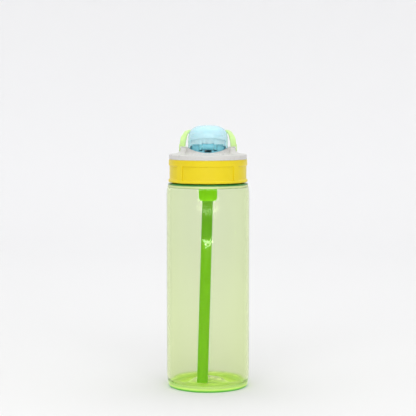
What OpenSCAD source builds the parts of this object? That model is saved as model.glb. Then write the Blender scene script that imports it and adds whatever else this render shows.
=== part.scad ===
// Kids water bottle with a screw lid, a flip cover, a carry loop and a drinking straw.
// +Z is up, the origin is the centre of the base, and +Y is the side that is drunk from.

/* [Bottle] */
// Outer radius of the straight part of the bottle
body_r = 38.5; // [37.5:0.5:40.5]
// Height of the shoulder, where the neck begins
shoulder_h = 190.1; // [150:0.1:230]
// Thickness of the bottle's wall
wall = 2.4; // [2:0.1:2.8]

/* [Screw thread] */
// Rise of the lid in one turn
pitch = 4; // [3.8:0.1:4.2]
// Turns of thread on the neck and in the collar
thread_turns = 1.25; // [1:0.05:1.3]

/* [Lid] */
// Outer radius of the collar at its lower edge
collar_r = 36.8; // [36.6:0.1:37]
// Depth of the grip panels in the collar
panel_depth = 0.7; // [0.3:0.1:0.8]
// Number of grip panels around the collar
panels = 4; // [3:1:4]

/* [Flip cover] */
// Outer radius of the flip cover
cover_r = 18.5; // [18.2:0.1:18.6]
// Wall thickness of the flip cover
cover_wall = 1.6; // [1.4:0.1:1.6]

/* [Carry loop] */
// How far the loop reaches forward of its pivots
loop_reach = 29.2; // [28:0.2:30]
// Width of the loop's strap
strap_w = 5.4; // [4.6:0.2:5.4]

/* [Straw] */
// Outer radius of the straw
straw_r = 5; // [4.5:0.1:5]
// How far the foot of the straw leans towards the back
straw_lean = 20; // [14:1:21]

/* [Hidden] */
$fn = 96;
e = 0.01;                       // overlap that keeps joined shapes in one solid
gap = 0.3;                      // space between pieces that move past each other
fit = 0.05;                     // radial clearance of a pin in its bore

// Bottle
neck_r = 32;
mouth_r = 29.8;
neck_top = shoulder_h + 15.9;
shoulder_r = body_r - 1.4;
shoulder_bend_h = shoulder_h - 12;
inner_r = body_r - wall;
foot_r = body_r - 3.3;
taper_top = 15;
floor_z = 2.8;
punt_h = 8.5;                   // height of the floor's dome
punt_r = 45;

// Thread
thread_h = 1.1;
thread_start = shoulder_h + 4.8;
thread_steps = 56;
collar_bore = neck_r + 1.5;

// Lid stack
collar_z = shoulder_h + 0.8;
deck_z = shoulder_h + 26.8;     // top of the lid's flange
flange_z = deck_z - 4.6;        // top of the collar
lip_z = flange_z - 2;           // underside of the collar's inner lip
plate_z = lip_z - 2.3;          // underside of the inner lid's plate
flange_r = collar_r - 0.7;
wall_r = 20.7;                  // outer radius of the saddle wall
well_r = 17;                    // bore of the saddle wall
rim_low = deck_z + 1.6;         // lowest point of the saddle's rim
ear_top = deck_z + 6.6;
saddle_r = 42.5;
ear_x = 25.5;
base_top = deck_z + 6;          // deck of the spout's base
channel_r = 3.2;                // drinking channel
spigot_r = 6;                   // tube of the inner lid that stands in the spout's base
spout_neck_r = 5.2;
vent_at = [15, 12, 0];
vent_r = 1.4;

// Flip cover and hinge
pin_y = -15.5;
pin_z = deck_z + 7.2;
pin_r = 0.9;
knuckle_r = 3;
barrel_half = 5.2;              // the base's barrel, which holds the spring
knuckle_x = [5.5, 8];           // the cover's knuckles, either side of the barrel
trough_r = 4.1;
trough_half = 8.3;
spring_z = deck_z + 10.2;       // height where the cover's dome springs
dome_h = 16.4;
dome_power = 3;
cover_top = spring_z + dome_h;
cover_roof = 1.8;               // thickness of the cover at its top
band_top = deck_z + 15.1;       // ridge across the back of the cover
band_low = deck_z + 9.8;        // edge of the cover over the hinge
arch_r = 56;
base_r = cover_r - cover_wall - gap;

// Carry loop
loop_pivot_z = deck_z + 4.4;
boss_r = 1.1;
cheek_r = 2.1;                  // disc at the foot of the loop, outside the ear
loop_x = 23.5;
loop_top = deck_z + 20.7;

// Button and catch
nose_half = 10.5;
nose_front = 28.7;
nose_top = deck_z + 7.9;
button_half = 7;
button_back = 23.6;
button_front = 29.5;
button_travel = 2;
button_axis_z = deck_z + 4;     // height of the button's spring
spring_back = cover_r + 1.3;
spring_seat = 2;                // depth of the spring's seat in the button
seat_r = 2.7;                   // bore round the button's spring
catch_z = deck_z + 3.2;
catch_t = 1.6;
catch_y = 12;
catch_half = 6.6;
latch_half = 4;                 // half the width of the cover's latch tab
arm_x = 5.7;                    // arms between the button and its catch
arm_half = 0.9;

// Straw
connector_z = deck_z - 43.4;
connector_r = 8.6;
socket_z = deck_z - 24.4;       // foot of the inner lid's stem, inside the connector
stem_r = 6.9;
straw_top = [0, 0, connector_z + 12];
straw_foot = [-5.1, -straw_lean, 6.8];

// Points along an arc, from angle a0 to a1
function arc(cx, cy, r, a0, a1, n = 8) =
    [for (i = [0:n]) let (a = a0 + (a1 - a0) * i / n) [cx + r * cos(a), cy + r * sin(a)]];
function smooth(t) = t * t * (3 - 2 * t);
function unit(v) = v / norm(v);

// A closed skin over rings of points that all have the same count
module skin(rings) {
    n = len(rings[0]);
    last = len(rings) - 1;
    sides = [for (i = [0:last - 1], j = [0:n - 1])
        each let (a = i * n + j, b = i * n + (j + 1) % n) [[a, b, b + n], [a, b + n, a + n]]];
    ends = [[for (j = [n - 1:-1:0]) j], [for (j = [0:n - 1]) last * n + j]];
    polyhedron(points = [for (ring = rings) each ring], faces = concat(sides, ends), convexity = 6);
}

// One helical ridge that stands from root_r to crest_r and fades out at both ends
module thread_ridge(root_r, crest_r, start_z) {
    root_half = 0.95;
    crest_half = 0.45;
    fade = 5;
    rings = [for (i = [0:thread_steps])
        let (a = 360 * thread_turns * i / thread_steps,
             z = start_z + pitch * thread_turns * i / thread_steps,
             grow = min(1, (i + 0.4) / fade, (thread_steps - i + 0.4) / fade),
             tip = root_r + (crest_r - root_r) * grow)
        [for (p = [[root_r, -root_half], [tip, -crest_half], [tip, crest_half], [root_r, root_half]])
            [p[0] * cos(a), p[0] * sin(a), z + p[1]]]];
    skin(crest_r > root_r ? rings : [for (ring = rings) [for (j = [3:-1:0]) ring[j]]]);
}

// A wire coil around Z, standing on z = 0, whose ends run on straight as legs along X
module coil(mean_r, wire_r, height, turns, leg = 0) {
    steps = turns * 16;
    sides = 8;
    rise = (height - 2 * wire_r) / turns;
    rings = [for (i = [0:steps])
        let (a = 90 + 360 * turns * i / steps, z = wire_r + rise * turns * i / steps)
        [for (j = [0:sides - 1])
            let (b = -360 * j / sides, r = mean_r + wire_r * cos(b))
            [r * cos(a), r * sin(a), z + wire_r * sin(b)]]];
    start = [for (p = rings[0]) p + [leg, 0, 0]];
    end = [for (p = rings[steps]) p - [leg, 0, 0]];
    skin(leg > 0 ? concat([start], rings, [end]) : rings);
}

// A cylinder of radius r from z0 to z1
module rod(r, z0, z1) {
    translate([0, 0, z0]) cylinder(r = r, h = z1 - z0);
}

// A tube from z0 to z1
module pipe(outer, inner, z0, z1) {
    difference() {
        rod(outer, z0, z1);
        rod(inner, z0 - 1, z1 + 1);
    }
}

// A block given by its two corners
module block(low, high) {
    translate(low) cube(high - low);
}

// A cylinder along Y with its axis at height z
module barrel_y(r, z, y0, y1) {
    translate([0, y1, z]) rotate([90, 0, 0]) cylinder(r = r, h = y1 - y0);
}

// A cylinder along X with its axis at (y, z)
module barrel_x(r, x0, x1, y, z) {
    translate([x0, y, z]) rotate([0, 90, 0]) cylinder(r = r, h = x1 - x0);
}

// ---- Bottle ----

module bottle_body() {
    foot_corner = 1.8;
    taper_r = 58.8;
    shoulder_arc_r = 45;
    throat_turn = 10.5;
    throat_corner = 2.2;
    throat_arc = shoulder_arc_r - wall - throat_corner;
    throat_x = body_r - shoulder_arc_r + throat_arc * cos(throat_turn);
    throat_z = shoulder_bend_h + throat_arc * sin(throat_turn);
    mouth_corner = 1.2;
    floor_bend_r = 5;
    floor_bend_h = 6.5;
    under_r = punt_r - wall;
    under_drop = punt_r - punt_h;
    underside = arc(0, -under_drop, under_r, 90, asin(under_drop / under_r), 8);
    foot = arc(foot_r, foot_corner, foot_corner, -90, -8, 6);
    taper = arc(body_r - taper_r, taper_top, taper_r, -12, 0, 7);
    bend = arc(body_r - shoulder_arc_r, shoulder_bend_h, shoulder_arc_r, 0, 14, 7);
    corner = arc(shoulder_r - 1, shoulder_h - 1, 1, 15, 90, 4);
    neck = [[neck_r + 0.8, shoulder_h], [neck_r, shoulder_h + 0.8], [neck_r, neck_top - 0.8],
            [neck_r - 0.8, neck_top], [mouth_r + 0.6, neck_top], [mouth_r, neck_top - 0.6]];
    throat = concat(
        arc(mouth_r + mouth_corner, throat_z + throat_corner + mouth_corner, mouth_corner, 180, 270, 4),
        arc(throat_x, throat_z, throat_corner, 90, throat_turn, 5),
        arc(body_r - shoulder_arc_r, shoulder_bend_h, shoulder_arc_r - wall, throat_turn - 1, 0, 6));
    floor_bend = [for (i = [0:8]) let (a = -90 * i / 8)
        [inner_r - floor_bend_r + floor_bend_r * cos(a), floor_z + floor_bend_h * (1 + sin(a))]];
    punt = arc(0, punt_h - punt_r, punt_r, 61, 90, 8);
    color([0.84, 0.9, 0.66, 0.5])
    union() {
        rotate_extrude()
            polygon(concat(underside, foot, taper, bend, corner, neck, throat, floor_bend, punt));
        thread_ridge(neck_r - 0.6, neck_r + thread_h, thread_start);
    }
}

module neck_gasket() {
    color([0.92, 0.94, 0.9])
    pipe(neck_r, mouth_r + 0.2, neck_top + 0.1, plate_z - 0.1);
}

// ---- Lid ----

module collar_ring() {
    top_r = collar_r - 0.4;
    profile = concat(
        arc(collar_r - 1.2, collar_z + 1.2, 1.2, -90, 0, 5),
        [[top_r, flange_z - 1], [top_r - 0.8, flange_z - e], [mouth_r + 0.2, flange_z - e],
         [mouth_r + 0.2, lip_z], [collar_bore, lip_z], [collar_bore, collar_z + 0.8],
         [collar_bore + 0.8, collar_z]]);
    panel_angle = 320 / panels;
    panel_low = collar_z + 2.6;
    panel_high = collar_z + 15.8;
    // sloped above and below
    panel = [[top_r - panel_depth, panel_low + panel_depth], [top_r + 2, panel_low - 2],
             [top_r + 2, panel_high + 2], [top_r - panel_depth, panel_high - panel_depth]];
    color([0.9, 0.82, 0.14])
    union() {
        difference() {
            rotate_extrude() polygon(profile);
            for (i = [0:panels - 1])
                rotate([0, 0, -90 - panel_angle / 2 + 360 * i / panels])
                    rotate_extrude(angle = panel_angle) polygon(panel);
        }
        thread_ridge(collar_bore + 0.6, collar_bore - thread_h, thread_start - pitch / 2);
    }
}

// The saddle wall and flange, before the openings
module lid_shell() {
    fillet_r = 3;
    profile = concat(
        [[well_r, flange_z + 2.2], [flange_r - 2.5, flange_z + 2.2], [flange_r - 2.5, flange_z]],
        [[flange_r, flange_z]],
        arc(flange_r - 1.1, deck_z - 1.1, 1.1, 0, 90, 4),
        arc(wall_r + fillet_r, deck_z + fillet_r, fillet_r, 270, 180, 6),
        [[wall_r, ear_top], [well_r, ear_top]]);
    difference() {
        union() {
            rotate_extrude() polygon(profile);
            nose();
        }
        barrel_y(saddle_r, rim_low + saddle_r, -wall_r - 1, 19.2);
    }
}

// The block on the front of the lid that holds the button
module nose() {
    corner = 4;
    side = [[well_r + 0.5, deck_z - 1], [nose_front, deck_z - 1], [nose_front, deck_z + 3],
            [nose_front - 1.6, nose_top - 1], [nose_front - 2.6, nose_top], [well_r + 0.5, nose_top]];
    plan = concat([[-nose_half, well_r]], [[nose_half, well_r]],
        arc(nose_half - corner, nose_front - corner, corner, 0, 90, 6),
        arc(corner - nose_half, nose_front - corner, corner, 90, 180, 6));
    difference() {
        intersection() {
            translate([nose_half + 1, 0, 0]) rotate([90, 0, -90])
                linear_extrude(2 * nose_half + 2) polygon([for (p = side) [-p[0], p[1]]]);
            translate([0, 0, deck_z - 2]) linear_extrude(20) polygon(plan);
        }
        rod(cover_r + 0.4, deck_z + 2.1, nose_top + 5);
    }
}

// One ear, on the +X side: its front outline and its side outline
module ear() {
    flare = [8.5, 4.2];         // width and height of the curve at its foot
    tip_r = 2.2;
    front = concat([[wall_r - 1.2, deck_z - 1], [wall_r - 1.2, ear_top]],
        arc(ear_x - 1.2, ear_top - 1.2, 1.2, 90, 0, 5),
        [for (p = arc(1, 1, 1, 180, 270, 8)) [ear_x + flare[0] * p[0], deck_z + flare[1] * p[1]]],
        [[ear_x + flare[0], deck_z - 1]]);
    side = concat([[-6, deck_z - 1], [6, deck_z - 1], [6, deck_z], [3.4, loop_pivot_z - 2.4]],
        arc(0, loop_pivot_z, tip_r, 0, 180, 12), [[-3.4, loop_pivot_z - 2.4], [-6, deck_z]]);
    intersection() {
        translate([0, 7, 0]) rotate([90, 0, 0]) linear_extrude(14) polygon(front);
        translate([wall_r - 2, 0, 0]) rotate([90, 0, 90]) linear_extrude(14) polygon(side);
    }
}

module lid_base() {
    bore_depth = 3.1;
    color([0.9, 0.9, 0.88])
    difference() {
        union() {
            lid_shell();
            for (m = [0, 1]) mirror([m, 0, 0]) ear();
            pipe(mouth_r - 0.1, mouth_r - 2.2, lip_z + 0.1, flange_z + 2.4);
        }
        rod(well_r - e, flange_z - 3, ear_top + 5);
        for (m = [0, 1]) mirror([m, 0, 0])
            barrel_x(boss_r + fit, ear_x - bore_depth, ear_x + 1, 0, loop_pivot_z);
        // recess round the loop's discs
        for (m = [0, 1]) mirror([m, 0, 0])
            barrel_x(cheek_r + gap, ear_x - 0.15, ear_x + 3, 0, loop_pivot_z);
        // pocket of the button, slots for its arms and seat of its spring
        block([-button_half - gap, button_back - button_travel - gap, deck_z + 0.8],
              [button_half + gap, nose_front + 1, nose_top - 1]);
        for (s = [-1, 1]) translate([s * arm_x, 0, 0])
            block([-arm_half - gap, well_r - 3, catch_z - gap],
                  [arm_half + gap, button_back, catch_z + catch_t + gap]);
        barrel_y(seat_r, button_axis_z, spring_back, button_back);
    }
}

module inner_lid() {
    plug_r = mouth_r - 0.5;
    spigot_top = flange_z + 3.4;
    color([0.93, 0.93, 0.92])
    difference() {
        union() {
            rod(collar_bore - 0.4, plate_z, lip_z - 0.1);
            pipe(plug_r, plug_r - 2.2, plate_z - 7.5, plate_z + e);
            rod(stem_r, socket_z, plate_z + e);
            pipe(mouth_r - 2.3, mouth_r - 4.1, lip_z - 0.2, flange_z + 2);
            rod(spigot_r, plate_z, spigot_top);
        }
        rod(channel_r, socket_z - 1, spigot_top + 1);
        translate(vent_at) rod(vent_r + 0.1, plate_z - 1, lip_z + 1);
    }
}

module channel_seal() {
    color([0.92, 0.94, 0.9])
    pipe(spigot_r + 2.4, spigot_r + 0.1, lip_z, lip_z + 1);
}

module vent_valve() {
    color([0.92, 0.94, 0.9])
    translate(vent_at)
        rotate_extrude()
            polygon([[0, plate_z - 0.8], [2, plate_z - 0.8], [3.6, plate_z - 0.1],
                     [vent_r, plate_z - 0.1], [vent_r, lip_z], [vent_r + 0.6, lip_z],
                     [vent_r - 0.2, lip_z + 1.6], [0, lip_z + 1.6]]);
}

module spout_base() {
    under = lip_z + 1.1;
    hollow = [8.6, 13.9];           // radii of the hollow in the underside
    fence_top = deck_z + 9.2;
    fence_t = 1.3;
    fence_angle = 144;
    catch_low = deck_z + 1.6;
    slot_half = 3.2;
    spring_half = 2.6;
    color([0.44, 0.73, 0.8])
    difference() {
        union() {
            difference() {
                union() {
                    rod(base_r, under, base_top);
                    // fence that closes the gap under the cover, either side of the hinge
                    rotate([0, 0, -90 - fence_angle / 2]) translate([0, 0, base_top - 1])
                        rotate_extrude(angle = fence_angle)
                            translate([base_r - fence_t, 0]) square([fence_t, fence_top - base_top + 1]);
                }
                barrel_x(trough_r, -trough_half, trough_half, pin_y, pin_z);
            }
            // hinge barrel, open to the front round the spring
            difference() {
                barrel_x(knuckle_r, -barrel_half, barrel_half, pin_y, pin_z);
                barrel_x(knuckle_r - 0.7, -spring_half, spring_half, pin_y, pin_z);
                block([-spring_half, pin_y + 0.4, pin_z - 4], [spring_half, pin_y + 4, pin_z + 4]);
            }
            for (m = [0, 1]) mirror([m, 0, 0])
                block([slot_half, 1 - base_r, deck_z + 1.6], [barrel_half, pin_y + 3.5, pin_z]);
        }
        pipe(hollow[1], hollow[0], under - 1, base_top - 2);
        rod(spigot_r + fit, under - 1, flange_z + 3.5);
        rod(spout_neck_r + fit, flange_z + 3, base_top + 1);
        barrel_x(pin_r + fit, -barrel_half - 1, barrel_half + 1, pin_y, pin_z);
        // room for the catch, and under the deck for its way back
        block([-button_half, catch_y - gap, catch_low], [button_half, well_r + 1, base_top + 1]);
        block([-button_half, catch_y - button_travel - gap, catch_low],
              [button_half, well_r, catch_z + catch_t + gap]);
        // slot behind the hinge, where the spring's foot stands
        block([-slot_half, -base_r - 1, deck_z + 2], [slot_half, -8, deck_z + 4]);
    }
}

module spout() {
    deck = base_top;
    tip = deck + 15.4;
    bore = 2.2;
    color([0.93, 0.95, 0.95])
    rotate_extrude()
        polygon(concat([[bore, flange_z + 3.6], [spout_neck_r, flange_z + 3.6], [spout_neck_r, deck],
                        [9.4, deck], [9.4, deck + 1.2], [7.6, deck + 1.2], [7, deck + 2.4], [5.6, tip - 4]],
            arc(4.2, tip - 2, 2, 20, 90, 5), [[bore + 0.6, tip], [bore, tip - 0.6]]));
}

module spout_ring() {
    deck = base_top;
    color([0.9, 0.9, 0.88])
    rotate_extrude()
        polygon([[9.5, deck], [11, deck], [11, deck + 1.6], [10.4, deck + 2.2], [7.9, deck + 2.2],
                 [7.7, deck + 1.25], [9.5, deck + 1.25]]);
}

// ---- Straw ----

// Turns +Z onto the straw's axis, with the straw's foot at the origin and round seams to one side
module along_straw() {
    way = unit(straw_top - straw_foot);
    translate(straw_foot) rotate([0, acos(way[2]), atan2(way[1], way[0])]) rotate([0, 0, 90]) children();
}

module straw_connector() {
    top = deck_z - 15.2;
    ribs = 14;
    rib_half = 0.8;
    color([0.46, 0.78, 0.08])
    difference() {
        union() {
            rotate_extrude()
                polygon([[0, connector_z], [connector_r - 1.3, connector_z],
                         [connector_r - 0.3, connector_z + 1.6], [connector_r - 0.3, top - 0.6],
                         [connector_r - 0.9, top], [0, top]]);
            for (i = [0:ribs - 1]) rotate([0, 0, 360 * i / ribs])
                block([connector_r - 1, -rib_half, connector_z + 2.4],
                      [connector_r - 0.02, rib_half, top - 1.6]);
        }
        rod(stem_r + fit, socket_z - 1.2, top + 1);
        rod(channel_r, connector_z + 10, top);
        along_straw() cylinder(r = straw_r + fit, h = norm(straw_top - straw_foot) + 0.2);
    }
}

module straw_seal() {
    color([0.92, 0.94, 0.9])
    pipe(stem_r - 0.1, channel_r + 0.4, socket_z - 1.15, socket_z - 0.05);
}

module straw() {
    length = norm(straw_top - straw_foot);
    color([0.42, 0.7, 0])
    along_straw() difference() {
        cylinder(r = straw_r, h = length);
        translate([0, 0, -1]) cylinder(r = straw_r - 1, h = length + 2);
    }
}

// ---- Flip cover ----

module hinge_pin() {
    color([0.75, 0.76, 0.78])
    barrel_x(pin_r, -knuckle_x[1], knuckle_x[1], pin_y, pin_z);
}

module cover_spring() {
    width = 4.8;
    color([0.75, 0.76, 0.78])
    translate([-width / 2, pin_y, pin_z]) rotate([0, 90, 0])
        coil(1.6, 0.35, width, 5, leg = 4.3);
}

// Outline of half the dome, from its lower edge to the top
function dome_outline(r, top, low) =
    let (h = top - spring_z, n = 20)
    concat([[r, low]],
        [for (i = [0:n]) let (a = 90 * i / n)
            [r * pow(cos(a), 2 / dome_power), spring_z + h * pow(sin(a), 2 / dome_power)]]);

module dome(r, top, low) {
    rotate_extrude() polygon(concat([[0, low]], dome_outline(r, top, low)));
}

module flip_cover() {
    inner = cover_r - cover_wall;
    low = rim_low - 1;
    back_angle = 128;
    hinge_half = 16.3;
    step = 1;
    latch_low = deck_z + 1.9;
    notch_z = deck_z + 17.6;
    difference() {
        color([0.75, 0.91, 0.96])
        union() {
            difference() {
                dome(cover_r, cover_top, low);
                dome(inner, cover_top - cover_roof, low - 1);
                // step below the ridge across the back
                intersection() {
                    rotate([0, 0, -90 - back_angle / 2]) translate([0, 0, low - 1])
                        rotate_extrude(angle = back_angle)
                            translate([cover_r - step, 0]) square([3, 30]);
                    barrel_y(arch_r, band_top - arch_r, -25, 0);
                }
                // opening over the hinge
                intersection() {
                    block([-hinge_half, -25, low - 1], [hinge_half, -5, band_low]);
                    barrel_y(arch_r, band_low - arch_r, -25, 0);
                }
            }
            for (m = [0, 1]) mirror([m, 0, 0]) intersection() {
                union() {
                    barrel_x(knuckle_r, knuckle_x[0], knuckle_x[1], pin_y, pin_z);
                    block([knuckle_x[0], pin_y - 1.8, pin_z], [knuckle_x[1], pin_y + 1.8, band_low + 3]);
                }
                rod(cover_r - 0.2, low - 1, spring_z + 4);
            }
            // latch tab with its lip
            block([-latch_half, 14.8, latch_low + 3.6], [latch_half, inner + 0.3, spring_z]);
            block([-latch_half, 14.8, latch_low], [latch_half, 16.2, latch_low + 3.7]);
            block([-latch_half, 13.9, latch_low], [latch_half, 15, latch_low + 1]);
        }
        // the lower edge follows the saddle
        difference() {
            pipe(cover_r + 2, 16.3, low - 2, ear_top + 3);
            barrel_y(saddle_r, rim_low + saddle_r + gap, -25, 25);
        }
        // room for the arms of the button
        for (m = [0, 1]) mirror([m, 0, 0])
            block([latch_half + 0.2, 10, low - 1], [catch_half + 1, 20, catch_z + catch_t + 1]);
        barrel_x(pin_r + fit, -knuckle_x[1] - 1, knuckle_x[1] + 1, pin_y, pin_z);
        // small notch at each side of the back
        for (m = [0, 1]) mirror([m, 0, 0])
            block([12.6, -20, notch_z - 1.3], [14, -12, notch_z + 1.3]);
        // room for the base's barrel
        barrel_x(knuckle_r + gap, -knuckle_x[0], knuckle_x[0], pin_y, pin_z);
    }
}

module cover_seal() {
    top = cover_top - cover_roof;
    low = top - 3;
    color([0.92, 0.94, 0.9])
    rotate_extrude()
        polygon([[0, low], [5.2, low], [6.2, low + 0.8], [6.2, top - 0.55], [5, top - 0.35],
                 [3, top - 0.15], [0, top - 0.08]]);
}

// ---- Carry loop ----

// Bezier curve through four control points
function bezier(p, t) =
    pow(1 - t, 3) * p[0] + 3 * pow(1 - t, 2) * t * p[1] + 3 * (1 - t) * t * t * p[2] + pow(t, 3) * p[3];

// Half the loop's centre line: up the arm, forward over the elbow, then round to the middle
elbow = [loop_x - 4.3, 7, loop_top];
arm_curve = [[loop_x, 0, ear_top + 0.3], [loop_x, 0, ear_top + 7], [loop_x - 1.8, -1, loop_top - 2.5], elbow];
front_curve = [elbow, [loop_x - 5.6, 13, loop_top + 0.6], [loop_x - 5, loop_reach, loop_top - 2.7],
               [0, loop_reach, loop_top - 2.7]];
half_steps = 13;
half_line = concat([for (i = [0:half_steps]) bezier(arm_curve, i / half_steps)],
                   [for (i = [1:half_steps]) bezier(front_curve, i / half_steps)]);
loop_line = concat(half_line,
    [for (i = [len(half_line) - 2:-1:0]) let (p = half_line[i]) [-p[0], p[1], p[2]]]);

// The strap lies face back on the arms, and turns to lie flat round the front
function strap_face(p) =
    let (t = smooth(min(1, max(0, (p[2] - ear_top - 5) / 8))), side = p[0] / loop_x)
    unit([0.35 * t * side, -1 + t, t]);

module strap() {
    last = len(loop_line) - 1;
    sides = 14;
    skin([for (i = [0:last])
        let (p = loop_line[i],
             way = unit(loop_line[min(last, i + 1)] - loop_line[max(0, i - 1)]),
             across = unit(cross(way, strap_face(p))),
             face = cross(across, way),
             thin = smooth(min(1, max(0, (p[2] - ear_top - 3) / 9))),
             half_w = strap_w / 2,
             half_t = 1.6 - 0.6 * thin)
        [for (j = [0:sides - 1])
            let (a = 360 * j / sides, c = cos(a), s = sin(a))
            p + across * half_w * sign(c) * pow(abs(c), 0.5) + face * half_t * sign(s) * pow(abs(s), 0.5)]]);
}

module carry_loop() {
    cheek_t = 1.1;
    cheek_in = ear_x + 0.15;
    color([0.82, 0.93, 0.62])
    union() {
        strap();
        for (m = [0, 1]) mirror([m, 0, 0]) {
            barrel_x(cheek_r, cheek_in, cheek_in + cheek_t, 0, loop_pivot_z);
            block([cheek_in, -1.5, loop_pivot_z], [cheek_in + cheek_t, 1.5, ear_top + 2.4]);
            barrel_x(boss_r, ear_x - 2.9, cheek_in + 0.5, 0, loop_pivot_z);
        }
    }
}

// ---- Button ----

module push_button() {
    corner = 1.6;
    dish_r = 30;
    low = deck_z + 1.1;
    high = nose_top - 1.3;
    face = concat(
        arc(corner - button_half, low + corner, corner, 180, 270, 4),
        arc(button_half - corner, low + corner, corner, 270, 360, 4),
        arc(button_half - corner, high - corner, corner, 0, 90, 4),
        arc(corner - button_half, high - corner, corner, 90, 180, 4));
    color([0.6, 0.85, 0.92])
    union() {
        difference() {
            translate([0, button_front, 0]) rotate([90, 0, 0])
                linear_extrude(button_front - button_back) polygon(face);
            barrel_x(dish_r, -button_half - 1, button_half + 1,
                     button_front + dish_r - 0.6, (low + high) / 2);
            barrel_y(seat_r, button_axis_z, button_back - 1, button_back + spring_seat);
        }
        for (s = [-1, 1]) translate([s * arm_x, 0, 0])
            block([-arm_half, catch_y, catch_z], [arm_half, button_back + 1, catch_z + catch_t]);
        block([-catch_half, catch_y, catch_z], [catch_half, catch_y + 1.6, catch_z + catch_t]);
    }
}

module button_spring() {
    front = button_back + spring_seat;
    color([0.75, 0.76, 0.78])
    translate([0, front, button_axis_z]) rotate([90, 0, 0])
        coil(2, 0.3, front - spring_back, 5);
}

bottle_body();
neck_gasket();
collar_ring();
lid_base();
inner_lid();
channel_seal();
spout_base();
spout();
spout_ring();
vent_valve();
straw_connector();
straw_seal();
straw();
hinge_pin();
cover_spring();
flip_cover();
cover_seal();
carry_loop();
push_button();
button_spring();
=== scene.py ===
import math

import bmesh
import bpy
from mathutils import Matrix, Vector


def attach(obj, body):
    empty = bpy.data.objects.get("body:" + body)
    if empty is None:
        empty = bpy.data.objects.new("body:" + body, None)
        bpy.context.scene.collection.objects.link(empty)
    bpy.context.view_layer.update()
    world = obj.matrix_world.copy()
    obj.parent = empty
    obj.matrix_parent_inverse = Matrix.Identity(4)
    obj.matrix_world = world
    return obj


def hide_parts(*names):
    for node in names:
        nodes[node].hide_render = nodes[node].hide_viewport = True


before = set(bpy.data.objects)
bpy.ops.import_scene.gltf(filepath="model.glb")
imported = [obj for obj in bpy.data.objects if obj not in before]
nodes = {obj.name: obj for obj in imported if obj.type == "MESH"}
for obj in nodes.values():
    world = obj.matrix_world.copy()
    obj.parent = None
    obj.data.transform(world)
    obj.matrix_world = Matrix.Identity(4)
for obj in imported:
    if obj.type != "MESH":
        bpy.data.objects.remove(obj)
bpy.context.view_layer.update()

MM = 0.001

# ---- Sizes shared with the CAD model, in millimetres ----

BODY_R = 38.5
WALL = 2.4
INNER_R = BODY_R - WALL
SHOULDER_H = 190.1
DECK_Z = SHOULDER_H + 26.8
NECK_R = 32.0
MOUTH_R = 29.8
NECK_TOP = SHOULDER_H + 15.9
FLOOR_Z = 2.8
PUNT_H = 8.5
PUNT_R = 45.0
FOOT_R = BODY_R - 3.3
FOOT_EDGE_R = 1.8
TAPER_TOP = 15.0
TAPER_ARC_R = 58.8
SHOULDER_BEND_H = SHOULDER_H - 12
SHOULDER_ARC_R = 45.0
SHOULDER_EDGE_R = 1.0
SHOULDER_EDGE_X = BODY_R - 2.4
THROAT_TURN = 10.5
THROAT_CORNER = 2.2
MOUTH_CORNER = 1.2
FLOOR_BEND_R = 5.0
FLOOR_BEND_H = 6.5
THREAD_START = SHOULDER_H + 4.8
THREAD_H = 1.1
THREAD_ROOT_HALF = 0.95
THREAD_CREST_HALF = 0.45
PITCH = 4.0
THREAD_TURNS = 1.25
EAR_X = 25.5
EAR_TOP = DECK_Z + 6.6
LOOP_PIVOT_Z = DECK_Z + 4.4
LOOP_X = 23.5
LOOP_TOP = DECK_Z + 20.7
LOOP_REACH = 29.2
STRAP_W = 5.4
ARM_HALF_T = 1.6
FRONT_HALF_T = 1.0
BOSS_R = 1.1
CHEEK_R = 2.1
CHEEK_T = 1.1
HINGE_TOP = DECK_Z + 9.6
HINGE_FRONT = -9.0
HINGE_HALF = 15.9
STRAW_SHADE_Z = 137.0


# ---- Mesh helpers ----

def arc(cx, cz, radius, start, end, steps):
    """Points along an arc, with its angles in degrees."""
    angles = [math.radians(start + (end - start) * i / steps) for i in range(steps + 1)]
    return [(cx + radius * math.cos(a), cz + radius * math.sin(a)) for a in angles]


def circle(steps):
    """Equally spaced angles of a full turn."""
    return [2 * math.pi * i / steps for i in range(steps)]


def smoothstep(t):
    """Eases from 0 to 1."""
    t = min(1.0, max(0.0, t))
    return t * t * (3 - 2 * t)


def new_object(name, mesh_builder, sharp_angle):
    """A smooth-shaded object from a bmesh in millimetres."""
    bmesh.ops.remove_doubles(mesh_builder, verts=mesh_builder.verts, dist=1e-4)
    bmesh.ops.recalc_face_normals(mesh_builder, faces=mesh_builder.faces)
    bmesh.ops.scale(mesh_builder, vec=(MM, MM, MM), verts=mesh_builder.verts)
    mesh = bpy.data.meshes.new(name)
    mesh_builder.to_mesh(mesh)
    mesh_builder.free()
    mesh.polygons.foreach_set("use_smooth", [True] * len(mesh.polygons))
    mesh.set_sharp_from_angle(angle=math.radians(sharp_angle))
    obj = bpy.data.objects.new(name, mesh)
    bpy.context.scene.collection.objects.link(obj)
    return obj


def add_rings(builder, rings):
    """Skins rings of points that all have the same count, and closes both ends."""
    made = [[builder.verts.new(p) for p in ring] for ring in rings]
    count = len(made[0])
    for low, high in zip(made, made[1:]):
        for j in range(count):
            k = (j + 1) % count
            builder.faces.new((low[j], low[k], high[k], high[j]))
    builder.faces.new(list(reversed(made[0])))
    builder.faces.new(made[-1])


def add_lathe(builder, outline, steps):
    """Turns an outline of (radius, height) that starts on the axis."""
    rows = []
    for radius, height in outline:
        if radius < 1e-6:
            rows.append([builder.verts.new((0, 0, height))])
            continue
        ring = [(radius * math.cos(a), radius * math.sin(a), height) for a in circle(steps)]
        rows.append([builder.verts.new(point) for point in ring])
    for low, high in zip(rows, rows[1:]):
        for j in range(steps):
            k = (j + 1) % steps
            if len(low) == 1:
                builder.faces.new((low[0], high[k], high[j]))
            elif len(high) == 1:
                builder.faces.new((low[j], low[k], high[0]))
            else:
                builder.faces.new((low[j], low[k], high[k], high[j]))


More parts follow.
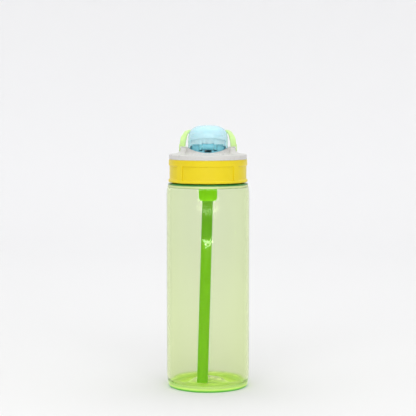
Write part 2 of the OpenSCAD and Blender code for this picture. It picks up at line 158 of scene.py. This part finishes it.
def add_cylinder_x(builder, radius, x0, x1, y, z):
    """A cylinder along X with bevelled rims."""
    edge = 0.2
    profile = [(x0, radius - edge), (x0 + edge, radius), (x1 - edge, radius), (x1, radius - edge)]
    turns = circle(32)
    add_rings(builder, [[(x, y + r * math.cos(a), z + r * math.sin(a)) for a in turns] for x, r in profile])


# ---- Material helpers ----

def node_material(name):
    material = bpy.data.materials.new(name)
    material.use_nodes = True
    tree = material.node_tree
    return material, tree, tree.nodes["Principled BSDF"]


def noise(tree, scale, detail=2.0, roughness=0.5, stretch=(1, 1, 1)):
    """3-D noise in object space, with scale in cells per metre."""
    place = tree.nodes.new("ShaderNodeTexCoord")
    mapping = tree.nodes.new("ShaderNodeMapping")
    mapping.inputs["Scale"].default_value = stretch
    texture = tree.nodes.new("ShaderNodeTexNoise")
    texture.inputs["Scale"].default_value = scale
    texture.inputs["Detail"].default_value = detail
    texture.inputs["Roughness"].default_value = roughness
    tree.links.new(place.outputs["Object"], mapping.inputs["Vector"])
    tree.links.new(mapping.outputs["Vector"], texture.inputs["Vector"])
    return texture.outputs["Fac"]


def map_range(tree, value, source, target):
    """Maps a value from one (low, high) range onto another, and clamps it there."""
    mapped = tree.nodes.new("ShaderNodeMapRange")
    mapped.inputs["From Min"].default_value, mapped.inputs["From Max"].default_value = source
    mapped.inputs["To Min"].default_value, mapped.inputs["To Max"].default_value = target
    tree.links.new(value, mapped.inputs["Value"])
    return mapped.outputs["Result"]


def spread(tree, value, low, high):
    """Maps the middle of a noise, where nearly all of it lies, onto a range."""
    return map_range(tree, value, (0.3, 0.7), (low, high))


def axis_fade(tree, axis, low, high):
    """0 at one place along an object's axis and 1 at another, in millimetres."""
    place = tree.nodes.new("ShaderNodeTexCoord")
    split = tree.nodes.new("ShaderNodeSeparateXYZ")
    tree.links.new(place.outputs["Object"], split.inputs["Vector"])
    return map_range(tree, split.outputs[axis], (low * MM, high * MM), (0, 1))


def mix_colours(tree, factor, first, second):
    """Mixes two colours, each a tuple or another node's output."""
    mixed = tree.nodes.new("ShaderNodeMix")
    mixed.data_type = "RGBA"
    for name, colour in (("A", first), ("B", second)):
        if isinstance(colour, tuple):
            mixed.inputs[name].default_value = (*colour, 1)
        else:
            tree.links.new(colour, mixed.inputs[name])
    tree.links.new(factor, mixed.inputs["Factor"])
    return mixed.outputs["Result"]


def combine(tree, operation, first, second):
    """A Math node between two values, clamped to 0 and 1."""
    result = tree.nodes.new("ShaderNodeMath")
    result.operation = operation
    result.use_clamp = True
    tree.links.new(first, result.inputs[0])
    tree.links.new(second, result.inputs[1])
    return result.outputs["Value"]


def add_bump(tree, principled, height, strength, distance):
    bump = tree.nodes.new("ShaderNodeBump")
    bump.inputs["Strength"].default_value = strength
    bump.inputs["Distance"].default_value = distance
    tree.links.new(height, bump.inputs["Height"])
    tree.links.new(bump.outputs["Normal"], principled.inputs["Normal"])


# ---- Materials ----

def moulded_plastic(name, colour, deep, gloss=(0.3, 0.42), grain=2600.0,
                    specular=0.4, glow=0.0, glow_colour=(1, 1, 1), painted_glow=None):
    """Moulded plastic: faint flow marks in its colour, uneven gloss and a fine textured skin.
    glow is how far light spreads inside, for the softer colours, and painted_glow is a painted glow,
    a little light given off by the pieces that are seen through the clear body."""
    material, tree, principled = node_material(name)
    flow = spread(tree, noise(tree, 45.0, 3.0), 0.0, 1.0)
    tree.links.new(mix_colours(tree, flow, colour, deep), principled.inputs["Base Color"])
    tree.links.new(spread(tree, noise(tree, 180.0, 4.0), *gloss), principled.inputs["Roughness"])
    add_bump(tree, principled, noise(tree, grain, 3.0, 0.6), 0.35, 0.00002)
    principled.inputs["Specular IOR Level"].default_value = specular
    if glow:
        principled.inputs["Subsurface Weight"].default_value = glow
        principled.inputs["Subsurface Radius"].default_value = glow_colour
        principled.inputs["Subsurface Scale"].default_value = 0.004
    # Painted glow: emission on the pieces seen through the clear body.
    if painted_glow:
        principled.inputs["Emission Color"].default_value = (*painted_glow, 1)
        principled.inputs["Emission Strength"].default_value = 1.0
    return material


def painted_shade_tone(material, mask, colour):
    """Paints a darker colour over a moulded plastic where the mask is 1, as painted shade."""
    tree = material.node_tree
    base = tree.nodes["Principled BSDF"].inputs["Base Color"]
    first_tone = base.links[0].from_socket
    tree.links.new(mix_colours(tree, mask, first_tone, colour), base)


def straw_plastic(name):
    """The straw's green plastic, with painted shade on its upper part, where the connector shades it, and a
    faint painted glow.
    """
    material = moulded_plastic(name, (0.24, 0.70, 0.0), (0.21, 0.66, 0.0), gloss=(0.45, 0.6),
                               specular=0.05, painted_glow=(0.05, 0.09, 0.0))
    # Painted shade: the straw darkens above STRAW_SHADE_Z, under the connector.
    upper_shade = axis_fade(material.node_tree, "Z", STRAW_SHADE_Z, STRAW_SHADE_Z + 4)
    painted_shade_tone(material, upper_shade, (0.13, 0.52, 0.0))
    return material


def cover_plastic(name):
    """The cover's pale blue plastic, with a darker blue painted on its hinge knuckles as painted shade."""
    material = moulded_plastic(name, (0.50, 0.76, 0.84), (0.47, 0.74, 0.82), gloss=(0.2, 0.3),
                               glow=0.3, glow_colour=(0.5, 0.8, 1.0))
    tree = material.node_tree
    edge = 0.3
    knuckle_shade = axis_fade(tree, "Z", HINGE_TOP, HINGE_TOP - edge)
    sides = (("Y", HINGE_FRONT, HINGE_FRONT - 2), ("X", -HINGE_HALF, edge - HINGE_HALF),
             ("X", HINGE_HALF, HINGE_HALF - edge))
    for axis, outside, inside in sides:
        knuckle_shade = combine(tree, "MULTIPLY", knuckle_shade, axis_fade(tree, axis, outside, inside))
    # Painted shade: the knuckles take the darker blue of the shaded hinge trough.
    painted_shade_tone(material, knuckle_shade, HINGE_SHADE_BLUE)
    return material


def clear_plastic(name):
    """Clear tinted plastic, coloured by its thickness.
    Its thick foot and its neck are painted an opaque green, partly their own colour and partly painted
    light."""
    material, tree, principled = node_material(name)
    above_foot = axis_fade(tree, "Z", 0.8, 7.0)
    foot_rim = axis_fade(tree, "Z", 1.2, 2.6)
    shoulder = axis_fade(tree, "Z", SHOULDER_H - 3.7, SHOULDER_H - 2.9)
    neck = axis_fade(tree, "Z", SHOULDER_H - 1.8, SHOULDER_H - 1)
    clear = combine(tree, "SUBTRACT", above_foot, shoulder)

    # The foot's opaque green, darker at its bottom edge and bright above: partly the thick plastic's own
    # green and partly painted light.
    foot = mix_colours(tree, foot_rim, (0.12, 0.50, 0.05), (0.66, 0.94, 0.10))
    # Painted highlight: the pale opaque band on the shoulder's corner, over the plastic's own green.
    below_neck = mix_colours(tree, shoulder, foot, (0.78, 0.88, 0.42))
    # Painted shade: the neck under the collar is a dark green, over the thick plastic's own green.
    edges = mix_colours(tree, neck, below_neck, (0.03, 0.26, 0.05))
    wall = mix_colours(tree, axis_fade(tree, "Z", 20.0, 150.0), (0.915, 0.935, 0.86), (0.91, 0.93, 0.895))
    tree.links.new(mix_colours(tree, clear, edges, wall), principled.inputs["Base Color"])
    tree.links.new(map_range(tree, clear, (0, 1), (0.25, 1)), principled.inputs["Transmission Weight"])

    # Painted glow on the foot: emission, dark at its bottom edge and bright above.
    foot_painted_glow = mix_colours(tree, foot_rim, (0.02, 0.16, 0.01), (0.46, 0.62, 0.05))
    painted_glow = mix_colours(tree, above_foot, foot_painted_glow, (0, 0, 0))
    tree.links.new(painted_glow, principled.inputs["Emission Color"])
    principled.inputs["Emission Strength"].default_value = 0.6

    principled.inputs["IOR"].default_value = 1.42
    principled.inputs["Specular Tint"].default_value = (0.6, 0.65, 0.45, 1)
    tree.links.new(spread(tree, noise(tree, 60.0, 3.0), 0.03, 0.05), principled.inputs["Roughness"])
    add_bump(tree, principled, noise(tree, 22.0, 1.0, 0.4, (1, 1, 0.35)), 0.04, 0.0002)
    absorb = tree.nodes.new("ShaderNodeVolumeAbsorption")
    absorb.inputs["Color"].default_value = (0.77, 0.937, 0.02, 1)
    absorb.inputs["Density"].default_value = 80.0
    tree.links.new(absorb.outputs["Volume"], tree.nodes["Material Output"].inputs["Volume"])
    return material


def silicone(name, colour, deep):
    """Soft translucent rubber with a dusty sheen."""
    material = moulded_plastic(name, colour, deep, gloss=(0.45, 0.6), grain=1500.0, specular=0.3,
                               glow=0.5, glow_colour=(1.0, 1.0, 0.9))
    material.node_tree.nodes["Principled BSDF"].inputs["Sheen Weight"].default_value = 0.15
    return material


def drawn_steel(name):
    """Bright drawn wire with fine lines along it."""
    material, tree, principled = node_material(name)
    principled.inputs["Metallic"].default_value = 1.0
    lines = noise(tree, 900.0, 2.0, 0.5, (0.15, 1, 1))
    steel = mix_colours(tree, lines, (0.62, 0.62, 0.64), (0.78, 0.78, 0.79))
    tree.links.new(steel, principled.inputs["Base Color"])
    tree.links.new(spread(tree, lines, 0.22, 0.38), principled.inputs["Roughness"])
    add_bump(tree, principled, lines, 0.3, 0.00001)
    return material


# A deep blue, partly the spout base's own colour and partly painted shade in the hinge trough; the cover's
# knuckles get it as painted shade.
HINGE_SHADE_BLUE = (0.20, 0.56, 0.66)
YELLOW = moulded_plastic("yellow_plastic", (0.80, 0.64, 0.012), (0.77, 0.60, 0.010), gloss=(0.28, 0.4),
                         specular=0.3, glow=0.1, glow_colour=(1.0, 0.7, 0.1))
WHITE = moulded_plastic("white_plastic", (0.605, 0.60, 0.58), (0.635, 0.625, 0.60), gloss=(0.25, 0.36))
INNER_WHITE = moulded_plastic("inner_white", (0.84, 0.84, 0.82), (0.81, 0.81, 0.79), gloss=(0.3, 0.45))
BLUE_COVER = cover_plastic("blue_cover")
BLUE_BASE = moulded_plastic("blue_base", HINGE_SHADE_BLUE, (0.18, 0.53, 0.64), gloss=(0.3, 0.4),
                            glow=0.15, glow_colour=(0.3, 0.8, 1.0))
BUTTON_BLUE = moulded_plastic("button_blue", (0.40, 0.72, 0.84), (0.36, 0.69, 0.82), gloss=(0.25, 0.35),
                              glow=0.2, glow_colour=(0.4, 0.8, 1.0))
LOOP_GREEN = moulded_plastic("pale_green_loop", (0.60, 0.84, 0.33), (0.57, 0.81, 0.30), gloss=(0.3, 0.42),
                             glow=0.3, glow_colour=(0.8, 1.0, 0.4))
STRAW_GREEN = straw_plastic("green_straw")
# The connector's emission is a painted glow.
CONNECTOR_GREEN = moulded_plastic("green_connector", (0.33, 0.86, 0.006), (0.29, 0.82, 0.003),
                                  gloss=(0.4, 0.5), specular=0.08, painted_glow=(0.11, 0.28, 0.0))
SILICONE = silicone("silicone", (0.86, 0.88, 0.86), (0.80, 0.83, 0.81))
STEEL = drawn_steel("steel")
CLEAR = clear_plastic("clear_body")


def paint(obj, material):
    """Gives an object its one material."""
    obj.data.materials.clear()
    obj.data.materials.append(material)


# ---- Bottle ----

def neck_outline():
    """The neck's outside and its softened rim, from the shoulder up and in to the mouth."""
    edge = 0.8
    soft = 0.25
    rim_edge = 0.6
    rim_soft = 0.2
    return [(NECK_R + edge, SHOULDER_H), (NECK_R + soft, SHOULDER_H + soft), (NECK_R, SHOULDER_H + edge),
            (NECK_R, NECK_TOP - edge), (NECK_R - soft, NECK_TOP - soft), (NECK_R - edge, NECK_TOP),
            (MOUTH_R + rim_edge, NECK_TOP), (MOUTH_R + rim_soft, NECK_TOP - rim_soft),
            (MOUTH_R, NECK_TOP - rim_edge)]


def throat_outline():
    """The inside's shoulder, from the mouth down and out to the wall."""
    turn = math.radians(THROAT_TURN)
    centre_x = BODY_R - SHOULDER_ARC_R
    corner_arc = SHOULDER_ARC_R - WALL - THROAT_CORNER
    corner_x = centre_x + corner_arc * math.cos(turn)
    corner_z = SHOULDER_BEND_H + corner_arc * math.sin(turn)
    mouth_z = corner_z + THROAT_CORNER + MOUTH_CORNER
    throat = arc(MOUTH_R + MOUTH_CORNER, mouth_z, MOUTH_CORNER, 180, 270, 8)
    throat += arc(corner_x, corner_z, THROAT_CORNER, 90, THROAT_TURN, 10)
    return throat + arc(centre_x, SHOULDER_BEND_H, SHOULDER_ARC_R - WALL, THROAT_TURN - 1, 0, 10)


def bottle_outline():
    """Half the bottle's section, from the underside's centre round to the inner floor's centre."""
    under_r = PUNT_R - WALL
    drop = PUNT_R - PUNT_H
    steps = 12
    underside = arc(0, -drop, under_r, 90, math.degrees(math.asin(drop / under_r)), 16)
    foot = arc(FOOT_R, FOOT_EDGE_R, FOOT_EDGE_R, -90, -8, 8)
    taper = arc(BODY_R - TAPER_ARC_R, TAPER_TOP, TAPER_ARC_R, -12, 0, 8)
    rise = SHOULDER_BEND_H - TAPER_TOP
    straight = [(BODY_R, TAPER_TOP + rise * i / steps) for i in range(1, steps)]
    bend = arc(BODY_R - SHOULDER_ARC_R, SHOULDER_BEND_H, SHOULDER_ARC_R, 0, 14, 8)
    corner = arc(SHOULDER_EDGE_X, SHOULDER_H - SHOULDER_EDGE_R, SHOULDER_EDGE_R, 15, 90, 6)
    inside_high = SHOULDER_BEND_H - 1
    inside_low = FLOOR_Z + FLOOR_BEND_H + 1
    inside = [(INNER_R, inside_high + (inside_low - inside_high) * i / steps) for i in range(steps + 1)]
    floor_bend = [(INNER_R + FLOOR_BEND_R * (across - 1), FLOOR_Z + FLOOR_BEND_H * (1 + up))
                  for across, up in arc(0, 0, 1, 0, -90, steps)]
    punt = arc(0, PUNT_H - PUNT_R, PUNT_R, 61, 90, 14)
    outline = underside + foot + taper + straight + bend + corner + neck_outline() + throat_outline()
    outline += inside + floor_bend + punt
    return [(0.0 if abs(r) < 1e-4 else r, z) for r, z in outline]


def add_thread(builder, root_r, crest_r, start_z):
    """The helical ridge on the neck, faded out at both ends."""
    steps = 160
    fade_steps = 14
    rings = []
    for i in range(steps + 1):
        angle = 2 * math.pi * THREAD_TURNS * i / steps
        height = start_z + PITCH * THREAD_TURNS * i / steps
        grow = min(1.0, (i + 1) / fade_steps, (steps - i + 1) / fade_steps)
        tip = root_r + (crest_r - root_r) * grow
        section = ((root_r, -THREAD_ROOT_HALF), (tip, -THREAD_CREST_HALF),
                   (tip, THREAD_CREST_HALF), (root_r, THREAD_ROOT_HALF))
        rings.append([(r * math.cos(angle), r * math.sin(angle), height + z) for r, z in section])
    add_rings(builder, rings)


def make_bottle():
    """The clear shell and its thread, in place of the CAD model's faceted bottle."""
    builder = bmesh.new()
    add_lathe(builder, bottle_outline(), 192)
    body = new_object("bottle_shell", builder, 50.0)
    paint(body, CLEAR)
    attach(body, "bottle")
    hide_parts("bottle_body")
    builder = bmesh.new()
    add_thread(builder, NECK_R - 0.02, NECK_R + THREAD_H, THREAD_START)
    thread = new_object("neck_thread", builder, 30.0)
    paint(thread, CLEAR)
    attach(thread, "bottle")


# ---- Carry loop ----

def bezier(points, t):
    a, b, c, d = points
    return a * (1 - t) ** 3 + b * 3 * (1 - t) ** 2 * t + c * 3 * (1 - t) * t * t + d * t ** 3


def loop_line():
    """The loop's centre line: up one arm, round the front and down the other arm."""
    elbow = Vector((LOOP_X - 4.3, 7, LOOP_TOP))
    arm = [Vector((LOOP_X, 0, EAR_TOP + 0.3)), Vector((LOOP_X, 0, EAR_TOP + 7)),
           Vector((LOOP_X - 1.8, -1, LOOP_TOP - 2.5)), elbow]
    front_z = LOOP_TOP - 2.7
    front = [elbow, Vector((LOOP_X - 5.6, 13, LOOP_TOP + 0.6)),
             Vector((LOOP_X - 5, LOOP_REACH, front_z)), Vector((0, LOOP_REACH, front_z))]
    steps = 36
    half = [bezier(arm, i / steps) for i in range(steps + 1)]
    half += [bezier(front, i / steps) for i in range(1, steps + 1)]
    return half + [Vector((-p.x, p.y, p.z)) for p in reversed(half[:-1])]


def strap_face(point):
    """The strap faces back on the arms and turns to lie flat round the front."""
    t = smoothstep((point.z - EAR_TOP - 5) / 8)
    return Vector((0.35 * t * point.x / LOOP_X, -1 + t, t)).normalized()


def strap_ring(point, way):
    """One rounded cross-section of the strap, thinner away from the ears."""
    across = way.cross(strap_face(point)).normalized()
    face = across.cross(way)
    half_w = STRAP_W / 2
    thinning = smoothstep((point.z - EAR_TOP - 3) / 9)
    half_t = ARM_HALF_T - (ARM_HALF_T - FRONT_HALF_T) * thinning
    ring = []
    for a in circle(28):
        c = math.cos(a)
        s = math.sin(a)
        wide = math.copysign(abs(c) ** 0.5, c) * half_w
        tall = math.copysign(abs(s) ** 0.5, s) * half_t
        ring.append(point + across * wide + face * tall)
    return ring


def make_strap():
    """The strap, in place of the CAD model's faceted loop."""
    line = loop_line()
    ends = [line[0]] + line + [line[-1]]
    rings = [strap_ring(point, (after - before).normalized())
             for before, point, after in zip(ends, line, ends[2:])]
    builder = bmesh.new()
    add_rings(builder, rings)
    loop = new_object("loop_strap", builder, 60.0)
    paint(loop, LOOP_GREEN)
    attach(loop, "loop")
    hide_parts("carry_loop")


def make_cheek(name, side):
    """The end of one arm: a disc outside the ear, its boss in the ear and the neck up to the strap."""
    cheek_in = EAR_X + 0.15
    cheek_out = cheek_in + CHEEK_T
    neck_half = 1.5
    neck_top = EAR_TOP + 2.4
    builder = bmesh.new()
    add_cylinder_x(builder, CHEEK_R, cheek_in, cheek_out, 0, LOOP_PIVOT_Z)
    add_cylinder_x(builder, BOSS_R, EAR_X - 2.9, cheek_in + 0.5, 0, LOOP_PIVOT_Z)
    corners = ((-neck_half, LOOP_PIVOT_Z), (neck_half, LOOP_PIVOT_Z),
               (neck_half, neck_top), (-neck_half, neck_top))
    add_rings(builder, [[(x, y, z) for y, z in corners] for x in (cheek_in, cheek_out)])
    if side < 0:
        bmesh.ops.scale(builder, vec=(-1, 1, 1), verts=builder.verts)
    cheek = new_object(name, builder, 35.0)
    paint(cheek, LOOP_GREEN)
    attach(cheek, "loop")


def make_loop():
    make_strap()
    make_cheek("loop_cheek_right", 1)
    make_cheek("loop_cheek_left", -1)


# ---- CAD nodes that stay ----

def finish_nodes():
    """Gives each CAD node that stays its material."""
    looks = {
        "collar_ring": YELLOW, "lid_base": WHITE, "inner_lid": INNER_WHITE, "spout_base": BLUE_BASE,
        "spout": SILICONE, "spout_ring": WHITE, "vent_valve": SILICONE, "neck_gasket": SILICONE,
        "channel_seal": SILICONE, "straw_seal": SILICONE, "cover_seal": SILICONE,
        "straw_connector": CONNECTOR_GREEN, "straw": STRAW_GREEN, "hinge_pin": STEEL,
        "cover_spring": STEEL, "button_spring": STEEL, "flip_cover": BLUE_COVER, "push_button": BUTTON_BLUE,
    }
    for name, material in looks.items():
        for place in nodes[name].material_slots:
            place.material = material


# ---- Studio ----

def sweep_paper():
    """Matt paper, darkened towards the camera as painted shade, and paler at the back."""
    material, tree, principled = node_material("sweep_paper")
    # Painted shade: the paper turns grey towards the camera, for less light on the camera's side.
    near_painted_shade = mix_colours(tree, axis_fade(tree, "Y", -900.0, -200.0), (0.52, 0.52, 0.52), (0.80, 0.80, 0.80))
    tone = mix_colours(tree, axis_fade(tree, "Y", 100.0, 1600.0), near_painted_shade, (0.93, 0.93, 0.94))
    tree.links.new(tone, principled.inputs["Base Color"])
    add_bump(tree, principled, noise(tree, 300.0, 2.0), 0.05, 0.0002)
    principled.inputs["Roughness"].default_value = 0.9
    principled.inputs["Specular IOR Level"].default_value = 0.1
    return material


def make_studio():
    """A round white sweep, with the object in its middle."""
    floor_r = 1200
    bend_r = 900
    wall_top = 1600
    outline = [(0, 0), (floor_r / 3, 0), (floor_r, 0)]
    outline += arc(floor_r, bend_r, bend_r, -84, 0, 14)
    outline += [(floor_r + bend_r, wall_top)]
    builder = bmesh.new()
    add_lathe(builder, outline, 96)
    sweep = new_object("studio_sweep", builder, 60.0)
    for face in sweep.data.polygons:
        face.flip()
    paint(sweep, sweep_paper())


def soft_light(name, place, target, size, power):
    """A rectangular lamp that the camera doesn't see."""
    data = bpy.data.lights.new(name, "AREA")
    data.shape = "RECTANGLE"
    data.size, data.size_y = size
    data.energy = power
    light = bpy.data.objects.new(name, data)
    light.location = place
    light.rotation_euler = (Vector(target) - Vector(place)).to_track_quat("-Z", "Y").to_euler()
    light.visible_camera = False
    bpy.context.scene.collection.objects.link(light)


def make_lights():
    """Even white light, a soft lamp above, one in front and two thin strips low in front."""
    world = bpy.data.worlds.new("studio_world")
    world.use_nodes = True
    background = world.node_tree.nodes["Background"]
    background.inputs["Color"].default_value = (1.0, 1.0, 1.0, 1)
    background.inputs["Strength"].default_value = 0.85
    bpy.context.scene.world = world
    soft_light("overhead", (0, 0.35, 1.5), (0, 0.1, 0), (1.6, 1.6), 6.5)
    soft_light("front", (0, -1.25, 0.9), (0, 0, 0.12), (1.8, 0.8), 11.5)
    soft_light("strip_low", (0, -1.28, 0.008), (0, 0, 0.008), (2.2, 0.008), 1.2)
    soft_light("strip_high", (0, -1.28, 0.066), (0, 0, 0.066), (2.2, 0.012), 0.5)
    bpy.context.scene.view_settings.view_transform = "Standard"


def make_camera():
    """Level with the lid's rim and far back, as the bottle was seen."""
    distance = 1.305
    height = 0.270
    pitch = 4.53
    data = bpy.data.cameras.new("camera")
    data.sensor_width = 36.0
    data.lens = 121.8
    camera = bpy.data.objects.new("camera", data)
    camera.location = (0.0, -distance, height)
    camera.rotation_euler = (math.radians(90 - pitch), 0, 0)
    bpy.context.scene.collection.objects.link(camera)
    bpy.context.scene.camera = camera


make_camera()
make_bottle()
make_loop()
finish_nodes()
make_studio()
make_lights()
